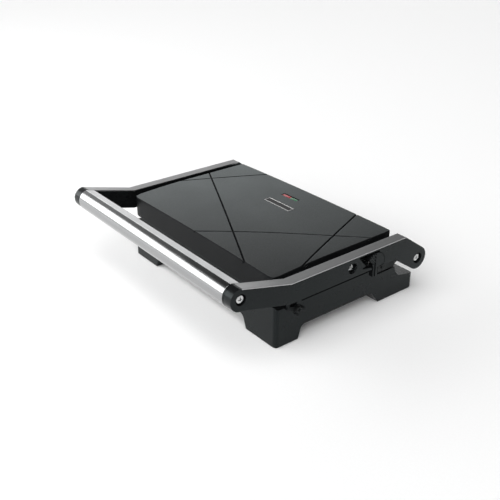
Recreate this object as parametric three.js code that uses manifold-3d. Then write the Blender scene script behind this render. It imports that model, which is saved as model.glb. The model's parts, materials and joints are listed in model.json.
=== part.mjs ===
// Contact grill (panini press) that opens flat: a base casing with four feet, a lid that tilts
// between two swinging arms, and a round handle across the front of the arms.
// Millimetres. +X is the right arm, +Y is the rear, +Z is up, and z = 0 is the table.
import * as THREE from 'three';
import { mergeVertices } from 'three/addons/utils/BufferGeometryUtils.js';
import Module from 'manifold-3d';

const wasm = await Module();
wasm.setup();

// ---------------------------------------------------------------- driving dimensions
const WIDTH = 295; // across the outer faces of the two arms
const GAP = 0.3; // between pieces that touch or fit into each other
const SEGMENTS = 24; // sides of a full circle

const ARM = { outer: WIDTH / 2, width: 11.7, bottom: 57.9, top: 79.8, slope: 14.7, wall: 2 };
ARM.inner = ARM.outer - ARM.width;
ARM.coverThickness = 1.5;
const TRIM = { lip: 1.3, thickness: 1, side: 1 };

const HANDLE = { y: -120.5, z: 84, radius: 12, wall: 1.5, facet: 9.7, stripWidth: 9.8 };
HANDLE.trimTop = 10.9; // from the handle's axis to the plane of the trim on top
const FRONT_BOSS = { radius: 11.7, lower: 10.8 };
const HINGE = { y: 117.3, z: 48.1, lobe: 12.7, tilt: 35, pin: 4.6 };
const PIVOT = { y: 18.2, z: 68.3, shank: 2.6, hole: 5.75, head: 4.8, headDepth: 2.8 };
const SCREW = { head: 4.4, shank: 2, headHeight: 2.2, recess: 1.1 };

const BASE = { halfX: 131.6, front: -66.8, bodyRear: 100.4, rear: 132.5, top: 45.9, wall: 2.6 };
BASE.underside = 16;
BASE.footBottom = 1;
BASE.cornerRadius = 5;
BASE.chamfer = 2.4; // along the top of both sides, under the arms
const SHOULDER = { y: 73.3, z: 36, x: 127.4 };
const FOOT = { innerX: 86, frontDepth: 29.3, rearStart: 77.8, padRadius: 8.5 };

const PLATE = { halfX: 118, front: -59, rear: 86.5, thickness: 4, rim: 3, rib: 3.6, pitch: 9.4 };
PLATE.lowerTop = 42; // upper side of the lower plate's web
PLATE.lowerRibTop = 45.6;
PLATE.upperBottom = 53.6; // lower side of the upper plate's web
PLATE.upperRibBottom = 50.2;

const LID = { halfX: 127, rear: 94.5, front: -67.6, top: 81.4, frontTop: 78.6, bottom: 54 };
LID.wall = 2.4;
LID.frontRadius = 7.5; // corners in plan
LID.rearRadius = 3;
const LIP = { halfX: 121.4, front: -65.8, rear: 91, bottom: 49.7, neckFront: -63 };
const LAMP = { x: -3, y: 67.5, length: 26, depth: 6 };
const BADGE = { x: 4, y: 44.5, length: 43, depth: 10 };
const GROOVE = { width: 1.6, depth: 1 };

const RELEASE = { y: 52.5, z: 63.5, radius: 11.2, legFront: 48.8, legRear: 54.4, legBottom: 48 };
const LOCK = { y: -42.3, z: 39.1, hub: 4.4, reach: 13.8, nose: 1.8, angle: 158 };
LOCK.keeperRadius = 10;
LOCK.keeperPin = 1.4;

// ---------------------------------------------------------------- colours
const finish = (color, roughness, metalness = 0) =>
  new THREE.MeshStandardMaterial({ color, roughness, metalness });
const BLACK_PLASTIC = finish(0x242526, 0.55);
const GRAPHITE = finish(0x4a4b4d, 0.42);
const DARK_LIP = finish(0x1b1c1d, 0.5);
const SATIN_METAL = finish(0xa9abad, 0.35, 1);
const POLISHED = finish(0xd0d2d4, 0.15, 1);
const STEEL = finish(0x8d9094, 0.35, 1);
const CAST_PLATE = finish(0x26282a, 0.6, 0.3);
const ALUMINIUM = finish(0xb9bcbf, 0.4, 1);
const RUBBER = finish(0x161616, 0.9);
const CERAMIC = finish(0xd9d2c0, 0.6);
const RED_LENS = finish(0xc03030, 0.2);
const GREEN_LENS = finish(0x2a8a4c, 0.2);
const GLASS = finish(0xd8dcd8, 0.1);

// ---------------------------------------------------------------- solids from three.js geometry
function solid(geometry) {
  const bare = geometry.index ? geometry.toNonIndexed() : geometry;
  bare.deleteAttribute('normal');
  bare.deleteAttribute('uv');
  const merged = mergeVertices(bare, 1e-4);
  return new wasm.Manifold(new wasm.Mesh({
    numProp: 3,
    vertProperties: new Float32Array(merged.attributes.position.array),
    triVerts: new Uint32Array(merged.index.array),
  }));
}

function geometryOf(body) {
  const mesh = body.getMesh();
  const geometry = new THREE.BufferGeometry();
  geometry.setAttribute('position', new THREE.BufferAttribute(mesh.vertProperties, 3));
  geometry.setIndex(new THREE.BufferAttribute(mesh.triVerts, 1));
  geometry.computeVertexNormals();
  return geometry;
}

const join = (first, ...rest) => rest.reduce((sum, next) => sum.add(next), first);
const cut = (first, ...rest) => rest.reduce((left, next) => left.subtract(next), first);

function box(x0, x1, y0, y1, z0, z1) {
  const geometry = new THREE.BoxGeometry(x1 - x0, y1 - y0, z1 - z0);
  return solid(geometry.translate((x0 + x1) / 2, (y0 + y1) / 2, (z0 + z1) / 2));
}

function rodX(radius, x0, x1, y, z, sides = SEGMENTS) {
  const geometry = new THREE.CylinderGeometry(radius, radius, x1 - x0, sides);
  return solid(geometry.rotateZ(Math.PI / 2).translate((x0 + x1) / 2, y, z));
}

function rodY(radius, y0, y1, x, z, sides = SEGMENTS) {
  const geometry = new THREE.CylinderGeometry(radius, radius, y1 - y0, sides);
  return solid(geometry.translate(x, (y0 + y1) / 2, z));
}

function rodZ(radius, z0, z1, x, y, sides = SEGMENTS) {
  const geometry = new THREE.CylinderGeometry(radius, radius, z1 - z0, sides);
  return solid(geometry.rotateX(Math.PI / 2).translate(x, y, (z0 + z1) / 2));
}

function asShape(outline) {
  if (!Array.isArray(outline)) return outline;
  return new THREE.Shape(outline.map(([u, v]) => new THREE.Vector2(u, v)));
}

function extrude(outline, depth, curveSegments) {
  return new THREE.ExtrudeGeometry(asShape(outline), { depth, bevelEnabled: false, curveSegments });
}

// An outline in (y, z) pushed from x0 to x1.
function extrudeX(outline, x0, x1, curveSegments = 5) {
  const turn = new THREE.Matrix4().set(0, 0, 1, x0, 1, 0, 0, 0, 0, 1, 0, 0, 0, 0, 0, 1);
  return solid(extrude(outline, x1 - x0, curveSegments).applyMatrix4(turn));
}

// An outline in (x, z) pushed from y0 to y1.
function extrudeY(outline, y0, y1, curveSegments = 5) {
  return solid(extrude(outline, y1 - y0, curveSegments).rotateX(Math.PI / 2).translate(0, y1, 0));
}

// An outline in (x, y) pushed from z0 to z1.
function extrudeZ(outline, z0, z1, curveSegments = 5) {
  return solid(extrude(outline, z1 - z0, curveSegments).translate(0, 0, z0));
}

function mirrorX(body) {
  const mesh = body.getMesh();
  const points = Float32Array.from(mesh.vertProperties, (value, i) => (i % 3 === 0 ? -value : value));
  const faces = Uint32Array.from(mesh.triVerts);
  for (let i = 0; i < faces.length; i += 3) {
    const swap = faces[i + 1];
    faces[i + 1] = faces[i + 2];
    faces[i + 2] = swap;
  }
  return new wasm.Manifold(new wasm.Mesh({ numProp: 3, vertProperties: points, triVerts: faces }));
}

const radians = (degrees) => (degrees * Math.PI) / 180;

// A polygon whose corners are rounded; each corner is [u, v, radius].
function roundedOutline(corners) {
  const shape = new THREE.Shape();
  corners.forEach(([u, v, radius = 0], i) => {
    const here = new THREE.Vector2(u, v);
    const before = new THREE.Vector2(...corners.at(i - 1).slice(0, 2));
    const after = new THREE.Vector2(...corners[(i + 1) % corners.length].slice(0, 2));
    const start = here.clone().add(before.sub(here).setLength(radius));
    const end = here.clone().add(after.sub(here).setLength(radius));
    if (i === 0) shape.moveTo(start.x, start.y);
    else shape.lineTo(start.x, start.y);
    if (radius > 0) shape.quadraticCurveTo(u, v, end.x, end.y);
  });
  shape.closePath();
  return shape;
}

const roundedRectangle = (x0, x1, y0, y1, r) =>
  roundedOutline([[x0, y0, r], [x1, y0, r], [x1, y1, r], [x0, y1, r]]);

// ---------------------------------------------------------------- fasteners
const CROSS = { reach: 2.1, half: 0.5 };
const crossRecess = (x0, x1, y, z) => join(
  box(x0, x1, y - CROSS.reach, y + CROSS.reach, z - CROSS.half, z + CROSS.half),
  box(x0, x1, y - CROSS.half, y + CROSS.half, z - CROSS.reach, z + CROSS.reach),
);

// A cross-head screw along X whose head's outer face is at x.
function sideScrew(x, y, z, head, shank, length) {
  const body = join(
    rodX(head, x - SCREW.headHeight, x, y, z),
    rodX(shank, x - SCREW.headHeight - length, x - SCREW.headHeight + 0.2, y, z, 16),
  );
  return cut(body, crossRecess(x - SCREW.recess, x + 1, y, z));
}

// ---------------------------------------------------------------- swinging arms
const slope = radians(ARM.slope);
const slopeNormal = new THREE.Vector2(Math.sin(slope), Math.cos(slope));
const slopeRearward = new THREE.Vector2(Math.cos(slope), -Math.sin(slope));

// A point given by its distance above and behind the handle's axis, along the sloped front of the arm.
const fromHandle = (above, behind) => new THREE.Vector2(HANDLE.y, HANDLE.z)
  .addScaledVector(slopeNormal, above).addScaledVector(slopeRearward, behind);

// Where the line at that distance above the handle's axis, parallel to the slope, reaches height z.
function slopeAtHeight(above, z) {
  const start = fromHandle(above, 0);
  const travel = (z - start.y) / slopeRearward.y;
  return start.addScaledVector(slopeRearward, travel);
}

// Where the side of the rear lobe reaches height z; side is +1 for its top and -1 for its underside.
function lobeAtHeight(radius, side, z) {
  const tilt = radians(HINGE.tilt);
  const normal = new THREE.Vector2(Math.sin(tilt), Math.cos(tilt)).multiplyScalar(side * radius);
  const start = new THREE.Vector2(HINGE.y, HINGE.z).add(normal);
  const travel = (z - start.y) / Math.sin(tilt);
  return new THREE.Vector2(start.x - travel * Math.cos(tilt), z);
}

// Side view of an arm, every edge moved inwards by inset, with its top lowered by drop as well.
function armOutline(inset = 0, drop = 0) {
  const bottom = ARM.bottom + inset;
  const top = ARM.top - Math.max(inset, drop);
  const above = HANDLE.trimTop - Math.max(inset, drop);
  const below = -FRONT_BOSS.lower + inset;
  const bossRadius = FRONT_BOSS.radius - inset;
  const lobeRadius = HINGE.lobe - inset;
  const tilt = radians(90 - HINGE.tilt);
  const lowerBehind = Math.sqrt(bossRadius ** 2 - below ** 2);
  const upperAhead = -Math.sqrt(Math.max(bossRadius ** 2 - above ** 2, 0));
  const bossAngle = (point) => Math.atan2(point.y - HANDLE.z, point.x - HANDLE.y);
  const lowerFront = fromHandle(below, lowerBehind);
  const upperFront = fromHandle(above, upperAhead);
  const shape = new THREE.Shape();
  shape.moveTo(...lobeAtHeight(lobeRadius, -1, bottom).toArray());
  shape.lineTo(...slopeAtHeight(below, bottom).toArray());
  shape.lineTo(lowerFront.x, lowerFront.y);
  shape.absarc(HANDLE.y, HANDLE.z, bossRadius, bossAngle(lowerFront), bossAngle(upperFront), true);
  shape.lineTo(...slopeAtHeight(above, top).toArray());
  shape.lineTo(...lobeAtHeight(lobeRadius, 1, top).toArray());
  shape.absarc(HINGE.y, HINGE.z, lobeRadius, tilt, tilt - Math.PI, true);
  shape.closePath();
  return shape;
}

// The trim covers the arm's top from the front boss to the rear peak.
function trimZone(depth) {
  const peak = lobeAtHeight(HINGE.lobe, 1, ARM.top);
  const front = fromHandle(HANDLE.trimTop, -1.5);
  const bend = slopeAtHeight(HANDLE.trimTop, ARM.top);
  const lowBend = slopeAtHeight(HANDLE.trimTop - depth, ARM.top - depth);
  const lowFront = fromHandle(HANDLE.trimTop - depth, -1.5);
  return [
    [front.x, front.y], [lowFront.x, lowFront.y], [lowBend.x, lowBend.y],
    [peak.x, ARM.top - depth], [peak.x, ARM.top], [bend.x, bend.y],
  ];
}

function armTrim() {
  return cut(
    extrudeX(trimZone(TRIM.lip), ARM.inner, ARM.outer),
    extrudeX(trimZone(TRIM.lip + 1), ARM.inner + TRIM.side, ARM.outer - TRIM.side)
      .subtract(extrudeX(trimZone(TRIM.thickness), ARM.inner, ARM.outer)),
  );
}

// What the trim and its clearance take away from the black moulding below it.
function trimClearance() {
  const lip = extrudeX(trimZone(TRIM.lip + GAP), ARM.inner - 1, ARM.outer + 1);
  const side = TRIM.side + GAP;
  const kept = extrudeX(trimZone(TRIM.lip + 1), ARM.inner + side, ARM.outer - side)
    .subtract(extrudeX(trimZone(TRIM.thickness + GAP), ARM.inner - 1, ARM.outer + 1));
  return lip.subtract(kept);
}

const armShellInner = ARM.inner + ARM.coverThickness + GAP;
const pivotSeat = ARM.outer - PIVOT.headDepth - SCREW.headHeight - GAP;

function armHoles() {
  return [
    rodX(SCREW.shank + 0.4, ARM.inner - 1, ARM.outer + 1, HANDLE.y, HANDLE.z, 16),
    rodX(SCREW.head + 1.35, ARM.outer - 3.2, ARM.outer + 1, HANDLE.y, HANDLE.z),
    rodX(HINGE.pin + 0.35, ARM.inner - 1, ARM.outer - 3.5, HINGE.y, HINGE.z),
    rodX(SCREW.head + 1.8, ARM.outer - 3.5, ARM.outer + 1, HINGE.y, HINGE.z),
    rodX(PIVOT.shank + GAP, ARM.inner - 1, pivotSeat + 0.5, PIVOT.y, PIVOT.z, 16),
    rodX(PIVOT.hole, pivotSeat, ARM.outer + 1, PIVOT.y, PIVOT.z),
  ];
}

function armShell() {
  const cavity = extrudeX(armOutline(ARM.wall, 6), armShellInner - 1, ARM.outer - ARM.wall)
    .subtract(box(0, WIDTH, -200, -104, 0, 200));
  const bosses = [
    rodX(8, armShellInner, ARM.outer - 1, PIVOT.y, PIVOT.z),
    rodX(9.5, armShellInner, ARM.outer - 1, HINGE.y, HINGE.z),
  ];
  const shell = cut(extrudeX(armOutline(), armShellInner, ARM.outer), cavity);
  return cut(join(shell, ...bosses), trimClearance(), ...armHoles());
}

function armInnerCover() {
  const plate = extrudeX(armOutline(), ARM.inner, ARM.inner + ARM.coverThickness);
  return cut(plate, trimClearance(), ...armHoles());
}

// ---------------------------------------------------------------- release lever in the right arm
// Finger grip above and ahead of the pivot, and a narrow leg that hangs below the arm.
function releaseOutline(grow = 0) {
  const radius = RELEASE.radius + grow;
  const shape = new THREE.Shape();
  shape.moveTo(RELEASE.legFront - grow, RELEASE.legBottom - grow);
  shape.lineTo(RELEASE.legRear + grow, RELEASE.legBottom - grow);
  shape.lineTo(RELEASE.legRear + grow, ARM.bottom);
  const rear = radians(-20);
  shape.lineTo(RELEASE.y + radius * Math.cos(rear), RELEASE.z + radius * Math.sin(rear) - grow);
  shape.absarc(RELEASE.y, RELEASE.z, radius, rear, radians(155), false);
  shape.lineTo(RELEASE.legFront - 1.4 - grow, RELEASE.z - grow);
  shape.lineTo(RELEASE.legFront - grow, ARM.bottom);
  shape.closePath();
  return shape;
}

// The opening in the arm's outer wall: a dark wedge ahead of the lever, with a thin slot at its tip.
const WINDOW = { front: 25.7, rear: 57, top: 77.2, slotTip: 32.4, slotTop: 63.8, slotBottom: 62.6 };

function releaseWindow() {
  const legSide = RELEASE.legFront - 2;
  const below = ARM.bottom - 7;
  const wedge = [
    [WINDOW.front, WINDOW.top], [WINDOW.slotTip + 4.4, WINDOW.slotTop + 1.2],
    [WINDOW.slotTip, WINDOW.slotTop], [WINDOW.slotTip, WINDOW.slotBottom],
    [legSide - 2.6, WINDOW.slotBottom - 2], [legSide, ARM.bottom], [legSide, below],
    [WINDOW.rear, below], [WINDOW.rear, ARM.bottom + 4], [WINDOW.rear + 3, ARM.bottom + 9],
    [WINDOW.rear - 2, WINDOW.top],
  ];
  return join(
    extrudeX(wedge, armShellInner + 1, ARM.outer + 1),
    extrudeX(releaseOutline(0.5), armShellInner + 1, ARM.outer + 1, 12),
  );
}

const releaseX = { inner: 141.4, face: ARM.outer - 1, ridge: ARM.outer - 0.1 };
const GRIP = { count: 4, length: 12, width: 1.1, angle: -42, y: 44.4, z: 66.6, stepY: 1.9, stepZ: 2.1 };

// One raised bar across the lever's finger grip.
function gripBar(index) {
  const height = releaseX.ridge - releaseX.face + 0.2;
  const bar = new THREE.BoxGeometry(height, GRIP.length, GRIP.width).rotateX(radians(GRIP.angle));
  bar.translate(releaseX.ridge - height / 2, GRIP.y + index * GRIP.stepY, GRIP.z + index * GRIP.stepZ);
  return solid(bar).intersect(extrudeX(releaseOutline(-0.4), releaseX.inner, ARM.outer, 12));
}

function releaseLever() {
  const plate = extrudeX(releaseOutline(), releaseX.inner, releaseX.face, 12);
  const rim = extrudeX(releaseOutline(), releaseX.face - 0.2, releaseX.ridge, 12)
    .subtract(box(0, WIDTH, 0, RELEASE.y - 1, 0, 200));
  const ridges = Array.from({ length: GRIP.count }, (_, i) => gripBar(i));
  return cut(join(plate, rim, ...ridges), rodX(2.2, 0, 144.8, RELEASE.y, RELEASE.z, 16));
}

function releasePin() {
  return join(
    rodX(1.9, armShellInner + 0.1, 144.4, RELEASE.y, RELEASE.z, 16),
    rodX(2.8, armShellInner + 0.1, armShellInner + 0.6, RELEASE.y, RELEASE.z, 16),
  );
}

// A torsion spring wound round the release lever's pin.
function releaseSpring() {
  const turns = 2.5;
  const points = [];
  for (let i = 0; i <= turns * 12; i += 1) {
    const angle = (i / 12) * 2 * Math.PI;
    const x = armShellInner + 1.1 + (i / (turns * 12)) * 2;
    points.push(new THREE.Vector3(x, RELEASE.y + 3.8 * Math.cos(angle), RELEASE.z + 3.8 * Math.sin(angle)));
  }
  const wire = new THREE.Shape().absarc(0, 0, 0.35, 0, 2 * Math.PI, false);
  return solid(new THREE.ExtrudeGeometry(wire, {
    extrudePath: new THREE.CatmullRomCurve3(points), steps: points.length - 1, curveSegments: 3,
  }));
}

// ---------------------------------------------------------------- storage lock on the base's right side
const lockX = { inner: BASE.halfX + 0.5, outer: 135.1 };

function lockArm(angle, length, width) {
  const bar = new THREE.BoxGeometry(lockX.outer - lockX.inner, length, width).translate(0, length / 2, 0);
  return solid(bar.rotateX(radians(angle)).translate((lockX.inner + lockX.outer) / 2, LOCK.y, LOCK.z));
}

// A hook that turns up over the keeper pin of the arm, with a thumb tab and a lower spur.
function lockHook() {
  const nose = new THREE.BoxGeometry(lockX.outer - lockX.inner, LOCK.nose, 6);
  nose.translate(0, LOCK.reach - LOCK.nose / 2, -2);
  nose.rotateX(radians(LOCK.angle)).translate((lockX.inner + lockX.outer) / 2, LOCK.y, LOCK.z);
  const hook = join(
    rodX(LOCK.hub, lockX.inner, lockX.outer, LOCK.y, LOCK.z),
    lockArm(LOCK.angle, LOCK.reach, 3.6), solid(nose),
    lockArm(-20, 10.5, 3.4), lockArm(-71, 8.5, 3),
  );
  return hook.subtract(rodX(2.3, 0, WIDTH, LOCK.y, LOCK.z, 16));
}

const lockScrew = () => sideScrew(lockX.outer + GAP + SCREW.headHeight, LOCK.y, LOCK.z, 3.2, 1.9, 9);

// A tab of the arm's inner cover with a pin that the hook holds.
function keeper() {
  const z = LOCK.z + LOCK.keeperRadius;
  return join(
    box(ARM.inner, ARM.inner + ARM.coverThickness, LOCK.y - 3, LOCK.y + 3, z - 2.4, ARM.bottom + 2),
    rodX(LOCK.keeperPin, lockX.inner + 0.4, ARM.inner + 0.5, LOCK.y, z, 14),
  );
}

// ---------------------------------------------------------------- handle
// A round tube with a shallow channel along its top, in which the flat strip lies.
const stripOutline = (low, high, half) =>
  [[low, -half], [low, half], [high, half], [high, -half]]
    .map(([above, behind]) => fromHandle(above, behind).toArray());

// The inside of the tube, flattened below the channel.
function handleOutline(inset) {
  const radius = HANDLE.radius - inset;
  const facet = HANDLE.facet - inset;
  const half = Math.acos(facet / radius);
  const up = Math.PI / 2 - slope;
  const shape = new THREE.Shape();
  shape.absarc(HANDLE.y, HANDLE.z, radius, up + half, up - half + 2 * Math.PI, false);
  shape.closePath();
  return shape;
}

const handleEnd = ARM.inner - GAP;

function handleTube() {
  const channel = stripOutline(HANDLE.facet, HANDLE.radius + 1, HANDLE.stripWidth / 2 + GAP);
  return cut(
    rodX(HANDLE.radius, -handleEnd, handleEnd, HANDLE.y, HANDLE.z, 3 * SEGMENTS),
    extrudeX(channel, -handleEnd - 1, handleEnd + 1),
    extrudeX(handleOutline(HANDLE.wall), -handleEnd - 1, handleEnd + 1, 30),
  );
}

const handleStrip = () => extrudeX(
  stripOutline(HANDLE.facet + GAP, HANDLE.trimTop, HANDLE.stripWidth / 2), -handleEnd, handleEnd,
);

function handlePlug() {
  const plug = extrudeX(handleOutline(HANDLE.wall + GAP), handleEnd - 16, handleEnd - 0.2, 20);
  return plug.subtract(rodX(SCREW.shank + GAP, handleEnd - 14, handleEnd + 1, HANDLE.y, HANDLE.z, 16));
}

// ---------------------------------------------------------------- hinge between base and arms
const bracketX = { inner: SHOULDER.x + 0.4, outer: SHOULDER.x + 3 };

function hingeBracket() {
  const corners = [
    [SHOULDER.y + 2, SHOULDER.z + 0.6, 1], [BASE.bodyRear - 0.6, SHOULDER.z + 0.6, 2],
    [BASE.bodyRear + 3, 41.5, 2], [HINGE.y, HINGE.z - 8], [HINGE.y, HINGE.z + 8],
    [BASE.bodyRear - 4, 55, 3], [SHOULDER.y + 2, 53, 3],
  ];
  const plate = join(
    extrudeX(roundedOutline(corners), bracketX.inner, bracketX.outer, 3),
    rodX(8, bracketX.inner, bracketX.outer, HINGE.y, HINGE.z),
  );
  return cut(plate, rodX(HINGE.pin + GAP, 0, WIDTH, HINGE.y, HINGE.z), bracketScrewHole(2.3));
}

const BRACKET_SCREW = { y: SHOULDER.y + 10, z: 42 };
const bracketScrewHole = (radius) =>
  rodX(radius, SHOULDER.x - 8, WIDTH, BRACKET_SCREW.y, BRACKET_SCREW.z, 14);

// Pan head and shank, driven from outside through the bracket into the casing.
const bracketScrew = () => join(
  rodX(3.4, bracketX.outer + 0.15, bracketX.outer + 0.95, BRACKET_SCREW.y, BRACKET_SCREW.z, 18),
  rodX(1.8, SHOULDER.x - 5, bracketX.outer + 0.5, BRACKET_SCREW.y, BRACKET_SCREW.z, 12),
);

function hingePin() {
  const flange = rodX(7, bracketX.inner - 3.2, bracketX.inner - GAP, HINGE.y, HINGE.z);
  const pin = rodX(HINGE.pin, bracketX.inner - 3.2, ARM.outer - 3.9, HINGE.y, HINGE.z);
  const bore = rodX(SCREW.shank + GAP, bracketX.outer, ARM.outer, HINGE.y, HINGE.z, 16);
  return join(flange, pin).subtract(bore);
}

const hingeWasher = () => rodX(8, bracketX.outer + GAP, ARM.inner - GAP, HINGE.y, HINGE.z)
  .subtract(rodX(HINGE.pin + GAP, 0, WIDTH, HINGE.y, HINGE.z));

// ---------------------------------------------------------------- base
// Side view: feet at both ends, an arch between them, and a low tail that curves up to the body.
function baseSide() {
  const shape = new THREE.Shape();
  shape.moveTo(BASE.front, BASE.footBottom);
  shape.lineTo(BASE.front + FOOT.frontDepth, BASE.footBottom);
  shape.lineTo(-34, 12);
  shape.quadraticCurveTo(-33, BASE.underside, -28, BASE.underside);
  shape.lineTo(62, BASE.underside);
  shape.quadraticCurveTo(67, BASE.underside, 69, 12.5);
  shape.lineTo(FOOT.rearStart, BASE.footBottom);
  shape.lineTo(BASE.rear, BASE.footBottom);
  shape.lineTo(BASE.rear, 18.3);
  shape.lineTo(111.5, 22.6);
  shape.quadraticCurveTo(103, 25.5, BASE.bodyRear, SHOULDER.z);
  shape.lineTo(BASE.bodyRear, BASE.top);
  shape.lineTo(BASE.front, BASE.top);
  shape.closePath();
  return shape;
}

// Front view of the arch between the feet; it runs through the base from front to rear.
const frontArch = (ceiling) => roundedOutline([
  [-FOOT.innerX, -1], [FOOT.innerX, -1], [FOOT.innerX - 6, ceiling, 5], [6 - FOOT.innerX, ceiling, 5],
]);

const FOOT_PLACES = [
  ['front_left', -109, BASE.front + 15], ['front_right', 109, BASE.front + 15],
  ['rear_left', -109, 108], ['rear_right', 109, 108],
];

// Plan of the opening that a grill plate drops into.
const plateRecess = (radius) => roundedRectangle(
  -PLATE.halfX - 0.5, PLATE.halfX + 0.5, PLATE.front - 0.5, PLATE.rear + 0.5, radius,
);

function baseCavities() {
  const wall = BASE.wall;
  const { halfX, front, bodyRear, underside, top } = BASE;
  const room = extrudeZ(
    roundedRectangle(wall - halfX, halfX - wall, front + wall, bodyRear - wall, 4),
    underside + wall, top - 2.4,
  );
  const shoulderX = SHOULDER.x - wall;
  const narrow = box(-shoulderX, shoulderX, SHOULDER.y - wall, bodyRear - wall, underside + wall, top);
  const roomAhead = room.subtract(cut(
    box(-halfX, halfX, SHOULDER.y - wall, bodyRear, SHOULDER.z - wall, top), narrow,
  ));
  const mouth = extrudeZ(plateRecess(4), underside + wall, top + 1);
  const feet = [-1, 1].flatMap((side) => {
    const x = [side * (FOOT.innerX + wall), side * (halfX - wall)].sort((a, b) => a - b);
    return [
      box(...x, front + wall, front + FOOT.frontDepth - 2, BASE.footBottom + 3, underside + wall + 1),
      box(...x, FOOT.rearStart + 3, BASE.rear - wall, BASE.footBottom + 3, underside - 0.6),
      box(...x, FOOT.rearStart + 3, bodyRear - wall, underside - 1, underside + wall + 1),
    ];
  });
  return [roomAhead, mouth, ...feet];
}

const VENT = { rows: [-30, 45], count: 7, pitch: 12, length: 22, width: 3.4 };
const vents = () => VENT.rows.flatMap((y) => Array.from({ length: VENT.count }, (_, i) => {
  const x = (i - (VENT.count - 1) / 2) * VENT.pitch;
  return box(x - VENT.width / 2, x + VENT.width / 2, y, y + VENT.length, 0, BASE.underside + 6);
}));

const PLATE_SCREWS = [['front', 0, -30], ['rear', 0, 58]];
const GLAND = { x: -106, z: 9.2, radius: 6 };

function baseCasing() {
  const { halfX, front, bodyRear, rear, top } = BASE;
  const plan = extrudeZ(roundedRectangle(-halfX, halfX, front, rear, BASE.cornerRadius), 0, top, 4);
  const outside = extrudeX(baseSide(), -halfX, halfX, 6).intersect(plan);
  const shoulders = [-1, 1].map((side) => {
    const x = [side * SHOULDER.x, side * (halfX + 5)].sort((a, b) => a - b);
    return box(...x, SHOULDER.y, bodyRear + 5, SHOULDER.z, top + 5);
  });
  const arches = [
    extrudeY(frontArch(BASE.underside), front - 5, bodyRear),
    extrudeY(frontArch(12.5), bodyRear - 1, rear + 5),
  ];
  const chamfers = [-1, 1].map((side) => {
    const edge = side * (halfX + 1);
    const inner = edge - side * (BASE.chamfer + 2);
    const corner = [[inner, top + 1], [edge, top + 1], [edge, top - BASE.chamfer - 1]];
    return extrudeY(corner, front - 5, bodyRear + 5);
  });
  const shell = cut(outside, ...shoulders, ...chamfers, ...arches, ...baseCavities(), ...vents());
  const posts = PLATE_SCREWS.map(([, x, y]) => rodZ(4.5, BASE.underside + 1, 24, x, y, 16));
  const bores = PLATE_SCREWS.flatMap(([, x, y]) => [
    rodZ(2.4, 10, 30, x, y, 12), rodZ(4, 10, 19.5, x, y, 16),
  ]);
  const padSeat = FOOT.padRadius + GAP;
  const pads = FOOT_PLACES.map(([, x, y]) => rodZ(padSeat, 0, BASE.footBottom + 1.2, x, y));
  return cut(
    join(shell, ...posts), ...bores, ...pads,
    rodY(GLAND.radius, rear - 8, rear + 1, GLAND.x, GLAND.z),
    rodY(GLAND.radius + 2.2, rear - 8, rear - BASE.wall, GLAND.x, GLAND.z),
    rodX(2.2, halfX - 6, halfX + 1, LOCK.y, LOCK.z, 14),
    bothSides(bracketScrewHole(2.1)),
  );
}

const footPad = (x, y) => rodZ(FOOT.padRadius, 0, BASE.footBottom + 0.9, x, y);

// Round bush that lines the hole where the mains lead enters.
function cordGland() {
  const { rear, wall } = BASE;
  const lip = rodY(GLAND.radius + 1.6, rear - wall - 1.8, rear - wall - GAP, GLAND.x, GLAND.z);
  const sleeve = rodY(GLAND.radius - GAP, rear - wall - 1, rear - 0.1, GLAND.x, GLAND.z);
  return join(lip, sleeve).subtract(rodY(3.6, rear - 10, rear + 1, GLAND.x, GLAND.z, 20));
}

// ---------------------------------------------------------------- grill plates and heaters
// A ribbed cast plate; sign is +1 for ribs on top and -1 for ribs underneath.
function grillPlate(webFace, ribFace, sign) {
  const { halfX, front, rear, thickness, rim } = PLATE;
  const span = (a, b) => [Math.min(a, b), Math.max(a, b)];
  const back = webFace - sign * thickness;
  const outer = roundedRectangle(-halfX, halfX, front, rear, 6);
  const inner = roundedRectangle(rim - halfX, halfX - rim, front + rim, rear - rim, 4);
  const [low, high] = span(back, ribFace);
  const tray = extrudeZ(outer, low, high, 3)
    .subtract(extrudeZ(inner, ...span(webFace, ribFace + sign), 3));
  const count = Math.floor((2 * halfX - 26) / PLATE.pitch);
  const ribHeights = span(webFace - sign, ribFace - sign * 0.3);
  const ribs = Array.from({ length: count + 1 }, (_, i) => {
    const x = (i - count / 2) * PLATE.pitch;
    return box(x - PLATE.rib / 2, x + PLATE.rib / 2, front + 12, rear - 12, ...ribHeights);
  });
  const bossHeights = span(back - sign * 3, back + sign);
  const holeHeights = span(back - sign * 4, back + sign * 2);
  const bosses = PLATE_SCREWS.map(([, x, y]) => rodZ(5, ...bossHeights, x, y, 16));
  const holes = PLATE_SCREWS.map(([, x, y]) => rodZ(1.9, ...holeHeights, x, y, 12));
  return cut(join(tray, ...ribs, ...bosses), ...holes);
}

// A tubular heater bent into a loop with two cold ends at the rear.
function heatingElement(z) {
  const path = new THREE.CurvePath();
  const corners = [
    [-26, 80], [-26, 48], [-96, 48], [-96, -40], [96, -40], [96, 48], [26, 48], [26, 80],
  ];
  const bend = 12;
  const at = ([x, y]) => new THREE.Vector3(x, y, z);
  let from = at(corners[0]);
  for (let i = 1; i < corners.length - 1; i += 1) {
    const corner = at(corners[i]);
    const start = corner.clone().add(at(corners[i - 1]).sub(corner).setLength(bend));
    const end = corner.clone().add(at(corners[i + 1]).sub(corner).setLength(bend));
    path.add(new THREE.LineCurve3(from, start));
    path.add(new THREE.QuadraticBezierCurve3(start, corner, end));
    from = end;
  }
  path.add(new THREE.LineCurve3(from, at(corners.at(-1))));
  const section = new THREE.Shape().absarc(0, 0, 3.3, 0, 2 * Math.PI, false);
  return solid(new THREE.ExtrudeGeometry(section, { extrudePath: path, steps: 48, curveSegments: 3 }));
}

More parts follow.
